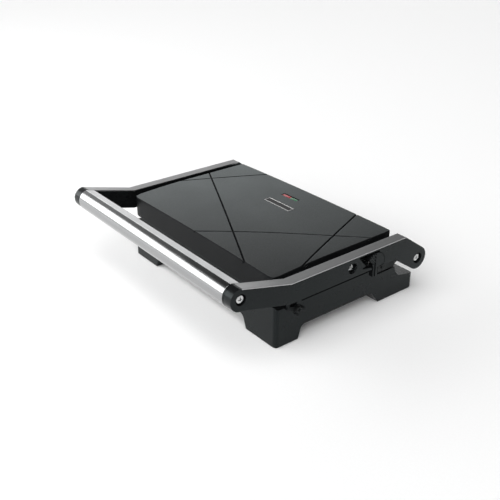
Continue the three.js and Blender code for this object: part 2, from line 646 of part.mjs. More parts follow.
// A shallow sheet tray that throws the heat back to the plate.
function reflector(floor, edge) {
  const [low, high] = [Math.min(floor, edge), Math.max(floor, edge)];
  const inside = floor < edge ? [floor + 0.8, edge + 1] : [edge - 1, floor - 0.8];
  const tray = box(-112, 112, -52, 70, low, high)
    .subtract(box(-111.2, 111.2, -51.2, 69.2, ...inside));
  const slots = [-26, 26].map((x) => box(x - 6, x + 6, 60, 72, low - 1, high + 1));
  const screwHoles = PLATE_SCREWS.map(([, x, y]) => rodZ(2.2, low - 1, high + 1, x, y, 16));
  return cut(tray, ...slots, ...screwHoles);
}

const thermostat = (x, y, z0, z1) =>
  join(rodZ(8, z0, z1, x, y, 20), box(x - 3, x + 3, y - 13, y + 13, z0 + 1.5, z0 + 2.5));

const plateScrew = (x, y, tip, head, headEnd) => join(
  rodZ(1.6, Math.min(tip, head), Math.max(tip, head), x, y, 12),
  rodZ(3.4, Math.min(head, headEnd), Math.max(head, headEnd), x, y, 16),
);

const plateScrewNodes = (name, ...heights) =>
  PLATE_SCREWS.map(([place, x, y]) => node(`${name}_${place}`, plateScrew(x, y, ...heights), STEEL));

function terminalBlock() {
  const block = box(-84, -50, 76, 90, 20, 31);
  const ports = [-78, -67, -56].map((x) => rodY(2, 70, 96, x, 25, 10));
  const screws = [-78, -67, -56].map((x) => rodZ(1.8, 28.5, 35, x, 83, 10));
  return cut(block, ...ports, ...screws);
}

// ---------------------------------------------------------------- lid
// The cover is where a side view, a front view and a plan view meet; inset thins all three.
function coverSolid(inset = 0) {
  const { halfX, rear, front, top, frontTop, bottom } = LID;
  const side = roundedOutline([
    [rear - inset, bottom - 1], [rear - inset, top - inset, 4], [-20, top - inset, 14],
    [front + inset + 1.6, frontTop - inset, 4.5], [front + inset, bottom - 1],
  ]);
  const frontView = roundedOutline([
    [inset - halfX, bottom - 1], [halfX - inset, bottom - 1], [halfX - inset, top - inset - 1.4, 6],
    [0, top - inset + 0.4, 60], [inset - halfX, top - inset - 1.4, 6],
  ]);
  const { frontRadius, rearRadius } = LID;
  const plan = roundedOutline([
    [inset - halfX, front + inset, frontRadius], [halfX - inset, front + inset, frontRadius],
    [halfX - inset, rear - inset, rearRadius], [inset - halfX, rear - inset, rearRadius],
  ]);
  return extrudeX(side, -halfX - 1, halfX + 1, 5)
    .intersect(extrudeY(frontView, front - 1, rear + 1, 5))
    .intersect(extrudeZ(plan, bottom, top + 1, 4));
}

// Fine lines pressed into the top: four strokes that cross at three points.
const CROSSING = { left: [-109.6, 32.1], front: [27, -38.1], right: [99.9, 36.8] };
const STROKES = [
  [[-130, 42.6], CROSSING.left, CROSSING.front, [95, -73]],
  [[-130, -8], CROSSING.left, [-75, 96]],
  [[-8, -74], CROSSING.front, CROSSING.right, [129, 66.7]],
  [[76, 97], CROSSING.right, [129, -35]],
];

function grooves() {
  const walls = STROKES.flatMap((points) => points.slice(1).map(([x1, y1], i) => {
    const [x0, y0] = points[i];
    const length = Math.hypot(x1 - x0, y1 - y0) + 0.6;
    const wall = new THREE.BoxGeometry(length, GROOVE.width, 20);
    wall.rotateZ(Math.atan2(y1 - y0, x1 - x0));
    return solid(wall.translate((x0 + x1) / 2, (y0 + y1) / 2, LID.top - 2));
  }));
  return join(...walls).subtract(coverSolid(GROOVE.depth));
}

const lampHole = () => extrudeZ(roundedRectangle(
  LAMP.x - LAMP.length / 2, LAMP.x + LAMP.length / 2,
  LAMP.y - LAMP.depth / 2, LAMP.y + LAMP.depth / 2, 1.5,
), 70, 90);

const badgePlan = (inset) => roundedRectangle(
  BADGE.x - BADGE.length / 2 + inset, BADGE.x + BADGE.length / 2 - inset,
  BADGE.y - BADGE.depth / 2 + inset, BADGE.y + BADGE.depth / 2 - inset, 1,
);

function lidCover() {
  const { halfX, front, rear, bottom, wall } = LID;
  const pivotHoles = rodX(PIVOT.shank + 0.7, -WIDTH, WIDTH, PIVOT.y, PIVOT.z, 16);
  const opening = roundedRectangle(wall - halfX, halfX - wall, front + wall + 1, rear - wall, 6);
  const hollow = coverSolid(wall).add(extrudeZ(opening, bottom - 1, bottom + 4, 4));
  const badgeSeat = extrudeZ(badgePlan(0), LID.top - 0.9, LID.top + 2);
  return cut(coverSolid(), hollow, grooves(), lampHole(), badgeSeat, pivotHoles);
}

// Dark frame below the cover: it closes the lid round the plate, and its neck fits into the cover.
function lidFrame() {
  const plan = (front, radius) => roundedRectangle(-LIP.halfX, LIP.halfX, front, LIP.rear, radius);
  const flange = extrudeZ(plan(LIP.front, 8), LIP.bottom, LID.bottom - GAP, 4);
  const neck = extrudeZ(plan(LIP.neckFront, 6), LIP.bottom + 1, 61, 4);
  const mouth = extrudeZ(plateRecess(5), LIP.bottom - 1, 59, 3);
  const room = box(-113, 113, -54, 82, 58, 62);
  return cut(join(flange, neck), mouth, room);
}

function lampLens(side) {
  const middle = LAMP.x + (side * LAMP.length) / 4;
  const halfLength = LAMP.length / 4 - GAP;
  const halfDepth = LAMP.depth / 2 - GAP;
  const plan = roundedRectangle(
    middle - halfLength, middle + halfLength, LAMP.y - halfDepth, LAMP.y + halfDepth, 1.2,
  );
  return extrudeZ(plan, 76.5, LID.top - 0.4, 3);
}

// Carrier with the two neon bulbs that light the lenses.
function lampCarrier() {
  const board = box(LAMP.x - 16, LAMP.x + 16, LAMP.y - 5, LAMP.y + 5, 71, 72.6);
  const bulb = (side) => rodX(
    1.9, LAMP.x + (side * LAMP.length) / 4 - 5, LAMP.x + (side * LAMP.length) / 4 + 5, LAMP.y, 74.2, 14,
  );
  return join(board, bulb(-1), bulb(1));
}

function badge() {
  const plate = extrudeZ(badgePlan(GAP), LID.top - 0.6, LID.top, 3);
  return plate.subtract(extrudeZ(badgePlan(1.6), LID.top - 0.25, LID.top + 1, 3));
}

// Block inside the lid that takes the pivot screw.
function pivotBlock() {
  const block = extrudeX(roundedOutline([
    [PIVOT.y - 14, 61.3], [PIVOT.y + 14, 61.3], [PIVOT.y + 8, 73.6, 3], [PIVOT.y - 8, 73.6, 3],
  ]), 117, LID.halfX - LID.wall - GAP);
  return block.subtract(rodX(PIVOT.shank + GAP, 118.5, WIDTH, PIVOT.y, PIVOT.z, 16));
}

const pivotBush = () => rodX(6, LID.halfX + GAP, ARM.inner - GAP, PIVOT.y, PIVOT.z)
  .subtract(rodX(PIVOT.shank + GAP, 0, WIDTH, PIVOT.y, PIVOT.z, 16));

const pivotScrew = () =>
  sideScrew(ARM.outer - PIVOT.headDepth, PIVOT.y, PIVOT.z, PIVOT.head, PIVOT.shank, 22.5);
const hingeScrew = () =>
  sideScrew(ARM.outer - 1, HINGE.y, HINGE.z, SCREW.head, SCREW.shank, 10);
const handleScrew = () =>
  sideScrew(ARM.outer - 0.8, HANDLE.y, HANDLE.z, SCREW.head, SCREW.shank, 18);

// The lead that feeds the lid runs inside the hollow left arm from the hinge to the pivot.
function armLead() {
  const x = -(armShellInner + 4);
  const points = [[HINGE.y - 12, 58], [96, 64.5], [70, 66], [48, 66], [PIVOT.y + 12, 67]];
  const path = new THREE.CatmullRomCurve3(points.map(([y, z]) => new THREE.Vector3(x, y, z)));
  const section = new THREE.Shape().absarc(0, 0, 2.4, 0, 2 * Math.PI, false);
  return solid(new THREE.ExtrudeGeometry(section, { extrudePath: path, steps: 14, curveSegments: 3 }));
}

// ---------------------------------------------------------------- assembly
function node(name, body, material) {
  const mesh = new THREE.Mesh(geometryOf(body), material);
  mesh.name = name;
  return mesh;
}

function pair(name, build, material) {
  const right = build();
  return [node(`${name}_right`, right, material), node(`${name}_left`, mirrorX(right), material)];
}

const bothSides = (body) => join(body, mirrorX(body));

function baseGroup() {
  const group = new THREE.Group();
  group.add(
    node('base_casing', baseCasing(), BLACK_PLASTIC),
    ...FOOT_PLACES.map(([place, x, y]) => node(`foot_pad_${place}`, footPad(x, y), RUBBER)),
    node('lower_grill_plate', grillPlate(PLATE.lowerTop, PLATE.lowerRibTop, 1), CAST_PLATE),
    node('lower_heating_element', heatingElement(34), STEEL),
    node('lower_heat_reflector', reflector(25, 30), ALUMINIUM),
    node('lower_thermostat', thermostat(0, 20, 31, 37.7), CERAMIC),
    ...plateScrewNodes('lower_plate_screw', 37.2, 19.2, 17.2),
    node('terminal_block', terminalBlock(), CERAMIC),
    node('cord_gland', cordGland(), RUBBER),
    ...pair('hinge_bracket', hingeBracket, STEEL),
    ...pair('bracket_screw', bracketScrew, STEEL),
    ...pair('hinge_pin', hingePin, STEEL),
    ...pair('hinge_washer', hingeWasher, RUBBER),
    ...pair('hinge_screw', hingeScrew, POLISHED),
    node('storage_lock_screw', lockScrew(), STEEL),
  );
  return group;
}

function armsGroup() {
  const group = new THREE.Group();
  const right = armShell();
  const cover = armInnerCover();
  group.add(
    node('arm_right', right.subtract(releaseWindow()), BLACK_PLASTIC),
    node('arm_left', mirrorX(right), BLACK_PLASTIC),
    node('arm_inner_cover_right', join(cover, keeper()), BLACK_PLASTIC),
    node('arm_inner_cover_left', mirrorX(cover), BLACK_PLASTIC),
    ...pair('arm_trim', armTrim, SATIN_METAL),
    node('handle_tube', handleTube(), POLISHED),
    node('handle_strip', handleStrip(), SATIN_METAL),
    ...pair('handle_plug', handlePlug, BLACK_PLASTIC),
    ...pair('handle_screw', handleScrew, POLISHED),
    node('release_pivot_pin', releasePin(), STEEL),
    node('release_spring', releaseSpring(), STEEL),
    node('lid_supply_lead', armLead(), RUBBER),
  );
  return group;
}

function lidGroup() {
  const group = new THREE.Group();
  group.add(
    node('lid_cover', lidCover(), GRAPHITE),
    node('lid_frame', lidFrame(), DARK_LIP),
    node('upper_grill_plate', grillPlate(PLATE.upperBottom, PLATE.upperRibBottom, -1), CAST_PLATE),
    node('upper_heating_element', heatingElement(61.4), STEEL),
    node('upper_heat_reflector', reflector(70, 66), ALUMINIUM),
    node('upper_thermostat', thermostat(0, 20, 58, 64), CERAMIC),
    ...plateScrewNodes('upper_plate_screw', 58.4, 70.3, 72.3),
    node('power_lamp_lens', lampLens(-1), RED_LENS),
    node('ready_lamp_lens', lampLens(1), GREEN_LENS),
    node('neon_lamp_carrier', lampCarrier(), GLASS),
    node('name_plate', badge(), SATIN_METAL),
    ...pair('pivot_block', pivotBlock, BLACK_PLASTIC),
    ...pair('pivot_bush', pivotBush, RUBBER),
    ...pair('pivot_screw', pivotScrew, POLISHED),
  );
  return group;
}

const press = new THREE.Group();
press.name = 'panini_press';
press.add(
  baseGroup(), armsGroup(), lidGroup(),
  node('release_lever', releaseLever(), BLACK_PLASTIC),
  node('storage_lock_hook', lockHook(), DARK_LIP),
);

export default press;
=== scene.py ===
"""Panini press: materials, detailed pieces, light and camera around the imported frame.

Metres, +X towards the right arm, +Y to the rear, +Z up.
"""

import json
import math

import bmesh
import bpy
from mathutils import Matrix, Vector


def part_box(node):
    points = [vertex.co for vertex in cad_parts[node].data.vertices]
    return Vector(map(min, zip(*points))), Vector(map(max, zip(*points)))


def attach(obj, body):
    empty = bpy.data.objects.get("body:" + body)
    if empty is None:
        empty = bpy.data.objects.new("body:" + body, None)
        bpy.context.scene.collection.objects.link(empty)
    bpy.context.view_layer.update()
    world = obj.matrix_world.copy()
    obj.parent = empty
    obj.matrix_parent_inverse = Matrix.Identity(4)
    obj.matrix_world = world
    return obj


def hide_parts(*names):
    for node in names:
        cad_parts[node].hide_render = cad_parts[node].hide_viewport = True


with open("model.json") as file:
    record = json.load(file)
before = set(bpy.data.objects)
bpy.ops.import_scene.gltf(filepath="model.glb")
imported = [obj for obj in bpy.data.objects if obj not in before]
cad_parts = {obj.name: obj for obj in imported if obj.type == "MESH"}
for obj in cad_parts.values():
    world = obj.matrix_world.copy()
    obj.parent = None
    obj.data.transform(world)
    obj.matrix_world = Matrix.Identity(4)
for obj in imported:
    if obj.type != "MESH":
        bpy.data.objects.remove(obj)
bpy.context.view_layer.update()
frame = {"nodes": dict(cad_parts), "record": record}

MM = 0.001
TOUCHING = 1e-7  # points closer than this are one
NODES = frame["nodes"]
SLOT_OF = {part["node"]: part["material_slot"] for part in frame["record"]["subparts"]}
BODIES = frame["record"]["behaviour"]["bodies"]
BODY_OF = {node: body for body, nodes in BODIES.items() for node in nodes}


# ---------------------------------------------------------------- material helpers
class Look:
    """A node material around one Principled shader, in the object's own coordinates."""

    def __init__(self, name, roughness, metallic=0.0):
        self.material = bpy.data.materials.new(name)
        self.material.use_nodes = True
        self.tree = self.material.node_tree
        self.tree.nodes.clear()
        output = self.tree.nodes.new("ShaderNodeOutputMaterial")
        self.shader = self.add("ShaderNodeBsdfPrincipled", Metallic=metallic, Roughness=roughness)
        self.tree.links.new(self.shader.outputs[0], output.inputs[0])
        self.place = self.add("ShaderNodeTexCoord").outputs["Object"]

    def add(self, kind, settings=None, **inputs):
        """A node with its settings, and inputs by name: numbers, colours or other sockets."""
        node = self.tree.nodes.new(kind)
        for key, value in (settings or {}).items():
            setattr(node, key, value)
        for key, value in inputs.items():
            self.put(node.inputs[key.replace("_", " ")], value)
        return node

    def put(self, socket, value):
        if isinstance(value, bpy.types.NodeSocket):
            self.tree.links.new(value, socket)
        else:
            socket.default_value = value

    def noise(self, scale, detail=3.0, stretch=(1, 1, 1), rough=0.55):
        """Noise whose grain is 1/scale metres, drawn out along the axes with a small stretch."""
        at = self.add("ShaderNodeMapping", Vector=self.place, Scale=stretch).outputs[0]
        made = self.add(
            "ShaderNodeTexNoise", Vector=at, Scale=scale, Detail=detail, Roughness=rough
        )
        return made.outputs["Fac"]

    def span(self, value, low, high, start=0.3, end=0.7):
        """Maps a value from start..end to low..high, clamped."""
        made = self.add(
            "ShaderNodeMapRange", Value=value, From_Min=start, From_Max=end, To_Min=low, To_Max=high
        )
        return made.outputs[0]

    def blend(self, factor, first, second):
        """Mixes two colours by a factor."""
        mix = self.add("ShaderNodeMix", {"data_type": "RGBA"})
        for index, value in ((0, factor), (6, first), (7, second)):
            self.put(mix.inputs[index], value)
        return mix.outputs[2]

    def math(self, operation, first, second):
        node = self.add("ShaderNodeMath", {"operation": operation})
        self.put(node.inputs[0], first)
        self.put(node.inputs[1], second)
        return node.outputs[0]

    def edges(self, start=0.52, end=0.6):
        """1 on sharp outer edges, found by pointiness, and 0 elsewhere."""
        point = self.add("ShaderNodeNewGeometry").outputs["Pointiness"]
        return self.span(point, 0.0, 1.0, start, end)

    def colour(self, value):
        self.put(self.shader.inputs["Base Color"], value)

    def rough(self, value):
        self.put(self.shader.inputs["Roughness"], value)

    def bump(self, height, depth, strength=1.0):
        node = self.add("ShaderNodeBump", Height=height, Distance=depth, Strength=strength)
        self.tree.links.new(node.outputs[0], self.shader.inputs["Normal"])

    def set(self, **values):
        """Constants on the shader's own sockets."""
        for key, value in values.items():
            self.shader.inputs[key.replace("_", " ")].default_value = value
        return self


def grey(level, tint=0.0):
    """A linear grey; a positive tint makes it cooler."""
    return (level * (1 - tint), level, level * (1 + tint), 1.0)


TEAL = (0.82, 1.0, 1.02, 1.0)  # cast of the sheen on the black mouldings


BLACK_SPECULAR = 0.17  # weak sheen of the black mouldings and enamel


def moulded(name, level, roughness, grain=2200.0, specular=BLACK_SPECULAR):
    """Injection-moulded plastic: spark-eroded grain, faint flow patches, edges rubbed smooth and
    lightened as a painted highlight.
    """
    tint, edge_highlight_gain = 0.06, 1.9
    look = Look(name, roughness)
    flow = look.noise(28, 2)
    rubbed_edges_and_highlight = look.edges()
    body = look.blend(look.span(flow, 0, 1), grey(level * 0.86, tint), grey(level * 1.14, tint))
    # painted highlight: the edges are mixed halfway towards a paler grey; their roughness drop
    # below is real rubbing
    look.colour(look.blend(look.math("MULTIPLY", rubbed_edges_and_highlight, 0.5), body, grey(level * edge_highlight_gain, tint)))
    patches = look.span(look.noise(60, 3), roughness - 0.05, roughness + 0.05)
    look.rough(look.math("SUBTRACT", patches, look.math("MULTIPLY", rubbed_edges_and_highlight, 0.12)))
    look.bump(look.noise(grain, 2), 0.03 * MM)
    look.set(Specular_IOR_Level=specular, Specular_Tint=TEAL)
    return look.material


def brushed(name, level, roughness, along, streak=0.14):
    """Metal with fine parallel polishing lines along one axis."""
    tint = 0.01
    look = Look(name, roughness, 1.0)
    stretch = [0.012 if axis == along else 1.0 for axis in "xyz"]
    lines = look.noise(2600, 3, stretch)
    broad = look.noise(260, 2, stretch)
    both = look.math("ADD", look.math("MULTIPLY", lines, 0.6), look.math("MULTIPLY", broad, 0.4))
    dark, light = level * (1 - streak), min(level * (1 + streak), 1)
    look.colour(look.blend(look.span(both, 0, 1), grey(dark, tint), grey(light, tint)))
    smudge = look.noise(35, 3)
    fine = look.span(both, roughness - 0.05, roughness + 0.07)
    look.rough(look.math("ADD", fine, look.span(smudge, -0.02, 0.04)))
    look.bump(lines, 0.008 * MM)
    return look.material


def lacquer(name, level, roughness):
    """Satin graphite lacquer with metal flake on the top; the sides, rim and pressed grooves are
    painted dark and non-metallic as painted shade.
    """
    tint = 0.012
    look = Look(name, roughness)
    flake = look.add("ShaderNodeTexVoronoi", Vector=look.place, Scale=2600.0).outputs["Color"]
    bright = look.add("ShaderNodeSeparateColor", Color=flake).outputs[0]
    facing = look.add("ShaderNodeTexCoord").outputs["Normal"]
    upward = look.add("ShaderNodeSeparateXYZ", Vector=facing).outputs["Z"]
    # painted shade: 1 on the up-facing top and 0 on the sides, rim and grooves, which get a dark
    # colour and no metal so they read shaded
    painted_lit_top = look.span(upward, 0.0, 1.0, 0.80, 0.985)
    sparkle = look.span(bright, 0, 1, 0.2, 0.9)
    body = look.blend(sparkle, grey(level * 0.86, tint), grey(level * 1.16, tint))
    look.colour(look.blend(painted_lit_top, grey(0.006, 0.08), body))
    look.put(look.shader.inputs["Metallic"], painted_lit_top)
    smudge = look.noise(22, 4)
    look.rough(look.span(smudge, roughness - 0.03, roughness + 0.04))
    look.bump(look.noise(900, 2), 0.006 * MM)
    look.set(Specular_IOR_Level=0.07, Specular_Tint=(0.93, 1.0, 1.0, 1.0))
    return look.material


def cast_coating(name, level):
    """Non-stick coating on a cast plate: coarse orange peel, dull patches, wear on the ribs."""
    look = Look(name, 0.5, 0.15)
    patches = look.noise(40, 4)
    rubbed = look.edges(0.51, 0.58)
    body = look.blend(look.span(patches, 0, 1), grey(level * 0.8, 0.01), grey(level * 1.3, 0.01))
    look.colour(look.blend(look.math("MULTIPLY", rubbed, 0.6), body, grey(level * 3.2)))
    look.rough(look.span(patches, 0.42, 0.6))
    peel = look.math("ADD", look.noise(650, 3), look.math("MULTIPLY", look.noise(2400, 2), 0.4))
    look.bump(peel, 0.06 * MM)
    return look.material


STAIN = (0.42, 0.38, 0.3, 1.0)  # film of age on plated steel


def turned_steel(name, level, roughness, tint=0.02):
    """Plated steel of screws and pins: turning marks, darker grey in the hollows."""
    look = Look(name, roughness, 1.0)
    fine = look.noise(3500, 2)
    film = look.noise(420, 3)
    light = grey(min(level * 1.1, 1), tint)
    body = look.blend(look.span(fine, 0, 1), grey(level * 0.88, tint), light)
    hollow = look.span(look.add("ShaderNodeNewGeometry").outputs["Pointiness"], 0.7, 0.0, 0.42, 0.5)
    stained = look.blend(look.span(film, 0, 0.25), body, STAIN)
    look.colour(look.blend(hollow, stained, grey(level * 0.25)))
    look.rough(look.span(film, roughness - 0.05, roughness + 0.09))
    look.bump(fine, 0.01 * MM)
    return look.material


def oxidised(name):
    """Sheath of a tubular heater, blued and browned by heat in slow bands."""
    look = Look(name, 0.45, 0.9)
    bands = look.noise(45, 3)
    blue, brown = (0.10, 0.11, 0.15, 1), (0.20, 0.145, 0.10, 1)
    soot = look.span(look.noise(300, 3), 0.0, 0.6)
    look.colour(look.blend(soot, look.blend(look.span(bands, 0, 1), blue, brown), grey(0.05)))
    look.rough(look.span(bands, 0.35, 0.6))
    look.bump(look.noise(2000, 2), 0.015 * MM)
    return look.material


def sheet_metal(name, level, roughness):
    """Rolled sheet with faint lengthwise lines and fingerprints."""
    look = Look(name, roughness, 1.0)
    lines = look.noise(900, 3, (0.02, 1, 1))
    fingerprints = look.span(look.noise(90, 4), 0, 0.1)
    look.colour(look.blend(look.span(lines, 0, 1), grey(level * 0.88), grey(min(level * 1.08, 1))))
    fine = look.span(lines, roughness - 0.06, roughness + 0.06)
    look.rough(look.math("ADD", fine, fingerprints))
    look.bump(lines, 0.012 * MM)
    return look.material


def painted_steel(name, level):
    """Black stove enamel on a pressing, rubbed to metal on its edges."""
    look = Look(name, 0.42)
    patches = look.noise(80, 3)
    look.colour(look.blend(
        look.math("MULTIPLY", look.edges(0.53, 0.6), 0.8),
        look.blend(look.span(patches, 0, 1), grey(level * 0.8), grey(level * 1.3)),
        grey(level * 4),
    ))
    look.rough(look.span(patches, 0.35, 0.52))
    look.bump(look.noise(1100, 2), 0.03 * MM)
    look.set(Specular_IOR_Level=BLACK_SPECULAR, Specular_Tint=TEAL)
    return look.material


def ceramic(name):
    """Unglazed steatite: warm white, fine pores, a few grey specks."""
    look = Look(name, 0.7)
    specks = look.span(look.noise(1600, 2), 1.0, 0.0, 0.28, 0.36)
    warm, pale = (0.62, 0.58, 0.48, 1), (0.74, 0.71, 0.62, 1)
    body = look.blend(look.span(look.noise(70, 3), 0, 1), warm, pale)
    look.colour(look.blend(look.math("MULTIPLY", specks, 0.6), body, grey(0.2)))
    look.rough(look.span(look.noise(200, 3), 0.6, 0.8))
    look.bump(look.noise(1500, 3), 0.05 * MM)
    return look.material


def rubber(name):
    """Matt black rubber with a dusty bloom."""
    look = Look(name, 0.85)
    bloom = look.span(look.noise(120, 4), 0, 1, 0.45, 0.75)
    look.colour(look.blend(bloom, grey(0.01), grey(0.028)))
    look.rough(look.span(bloom, 0.78, 0.92, 0, 1))
    look.bump(look.noise(1300, 3), 0.05 * MM)
    return look.material


def lens(name, deep, bright):
    """Translucent lamp lens: fine inner prisms and a cloud that vary it from deep to bright."""
    look = Look(name, 0.16)
    prisms = look.add(
        "ShaderNodeTexWave",
        {"wave_type": "BANDS", "bands_direction": "X", "wave_profile": "SIN"},
        Vector=look.place, Scale=330.0, Distortion=0.4,
    ).outputs["Fac"]
    cloud = look.noise(500, 2)
    bands, drift = look.math("MULTIPLY", prisms, 0.55), look.math("MULTIPLY", cloud, 0.45)
    shade = look.math("ADD", bands, drift)
    look.colour(look.blend(look.span(shade, 0, 1, 0.25, 0.75), deep, bright))
    look.rough(look.span(cloud, 0.1, 0.2))
    look.bump(prisms, 0.04 * MM)
    look.set(
        Subsurface_Weight=0.35, Subsurface_Scale=1.2 * MM, Subsurface_Radius=(1.0, 0.6, 0.5),
        Coat_Weight=0.8, Coat_Roughness=0.06,
    )
    return look.material


def board(name):
    """Pale glass-fibre board with a weave."""
    look = Look(name, 0.5)
    weave = look.add("ShaderNodeTexChecker", Vector=look.place, Scale=1200.0).outputs["Fac"]
    patches = look.noise(150, 3)
    resin = look.blend(look.span(patches, 0, 1), (0.55, 0.55, 0.47, 1), (0.66, 0.66, 0.58, 1))
    look.colour(look.blend(look.math("MULTIPLY", weave, 0.3), resin, grey(0.45)))
    look.rough(look.span(patches, 0.42, 0.6))
    look.bump(weave, 0.01 * MM)
    return look.material


MATERIALS = {
    "black_plastic": moulded("black_plastic", 0.0055, 0.28),
    "graphite_shell": lacquer("graphite_shell", 0.165, 0.36),
    "lip_plastic": moulded("lip_plastic", 0.005, 0.46, grain=1800, specular=0.12),
    "satin_trim": brushed("satin_trim", 0.39, 0.33, "y"),
    "polished_tube": brushed("polished_tube", 0.33, 0.16, "x", streak=0.08),
    "bright_steel": turned_steel("bright_steel", 0.6, 0.22),
    "screw_steel": turned_steel("screw_steel", 0.42, 0.36, tint=-0.02),
    "black_steel": painted_steel("black_steel", 0.007),
    "cast_plate": cast_coating("cast_plate", 0.02),
    "heater_tube": oxidised("heater_tube"),
    "aluminium_sheet": sheet_metal("aluminium_sheet", 0.72, 0.3),
    "ceramic": ceramic("ceramic"),
    "rubber": rubber("rubber"),
    "red_lens": lens("red_lens", (0.22, 0.012, 0.016, 1), (0.55, 0.09, 0.10, 1)),
    "green_lens": lens("green_lens", (0.006, 0.06, 0.025, 1), (0.05, 0.22, 0.10, 1)),
    "lamp_carrier": board("lamp_carrier"),
}


# ---------------------------------------------------------------- modifiers
def smooth(obj):
    """Smooth shading, held flat on flat faces by weighted normals."""
    for face in obj.data.polygons:
        face.use_smooth = True
    normals = obj.modifiers.new("normals", "WEIGHTED_NORMAL")
    normals.keep_sharp = True
    normals.weight = 100


def soften(obj, width):
    """Joins a CAD node's flat faces, rounds its edges and smooths its curved faces."""
    weld = obj.modifiers.new("weld", "WELD")
    weld.merge_threshold = 0.001 * MM
    flat = obj.modifiers.new("flat", "DECIMATE")
    flat.decimate_type = "DISSOLVE"
    flat.angle_limit = math.radians(0.6)
    round_edges(obj, width, 28)
    smooth(obj)


def round_edges(obj, width, angle):
    """Bevels the edges that turn by more than an angle in degrees."""
    bevel = obj.modifiers.new("edges", "BEVEL")
    bevel.width = width
    bevel.segments = 2
    bevel.limit_method = "ANGLE"
    bevel.angle_limit = math.radians(angle)
    bevel.miter_outer = "MITER_ARC"
    bevel.use_clamp_overlap = True


# ---------------------------------------------------------------- mesh helpers
def in_scene(name, data):
    obj = bpy.data.objects.new(name, data)
    bpy.context.scene.collection.objects.link(obj)
    return obj


def piece(name, mesh, node, *also):
    """A detailed piece that stands for CAD nodes and takes their body and finish."""
    obj = in_scene(name, mesh)
    obj.data.materials.append(MATERIALS[SLOT_OF[node]])
    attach(obj, BODY_OF[node])
    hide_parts(node, *also)
    return obj


def mesh_from(bm, name):
    bmesh.ops.recalc_face_normals(bm, faces=bm.faces)
    mesh = bpy.data.meshes.new(name)
    bm.to_mesh(mesh)
    bm.free()
    return mesh


def grid(bm, columns, rows, point):
    """Quads over columns x rows; point(column, row) gives the place of each corner."""
    corners = [[bm.verts.new(point(u, v)) for u in columns] for v in rows]
    for lower, upper in zip(corners, corners[1:]):
        for i in range(len(columns) - 1):
            bm.faces.new((lower[i], lower[i + 1], upper[i + 1], upper[i]))


def fill_between(values, step):
    """The values, with even steps no longer than step put between neighbours."""
    made = []
    for low, high in zip(values, values[1:]):
        count = max(1, math.ceil((high - low) / step - 1e-6))
        made += [low + (high - low) * i / count for i in range(count)]
    return made + [values[-1]]


def rimmed_lines(low, high, rim, count, pitch, marks=()):
    """Grid lines from low to high: count fine ones in each rim, the rest at most pitch apart."""
    steps = [rim * (1 - math.cos(math.pi / 2 * i / count)) for i in range(count)]
    inner = fill_between(sorted([low + rim, high - rim, *marks]), pitch)
    return [low + d for d in steps] + inner + [high - d for d in reversed(steps)]


def round_off(x, y, middle, half, rim, corner):
    """Moves a grid corner into rounded plan corners; also gives its drop in a rounded rim."""
    gap = (half.x - abs(x - middle.x), half.y - abs(y - middle.y))
    inside = [min(1.0, max(0.0, 1 - g / rim)) for g in gap]
    share = min(1.0, math.hypot(*inside))
    drop = rim * (1 - math.sqrt(max(0.0, 1 - share * share)))
    a, b = (max(0.0, 1 - g / corner) for g in gap)
    if a > 0 and b > 0:
        u, v = a * math.sqrt(1 - b * b / 2), b * math.sqrt(1 - a * a / 2)
        x -= math.copysign((a - u) * corner, x - middle.x)
        y -= math.copysign((b - v) * corner, y - middle.y)
    return x, y, drop


def new_verts(made):
    """The vertices among what a bmesh operator made."""
    return [v for v in made["geom"] if isinstance(v, bmesh.types.BMVert)]


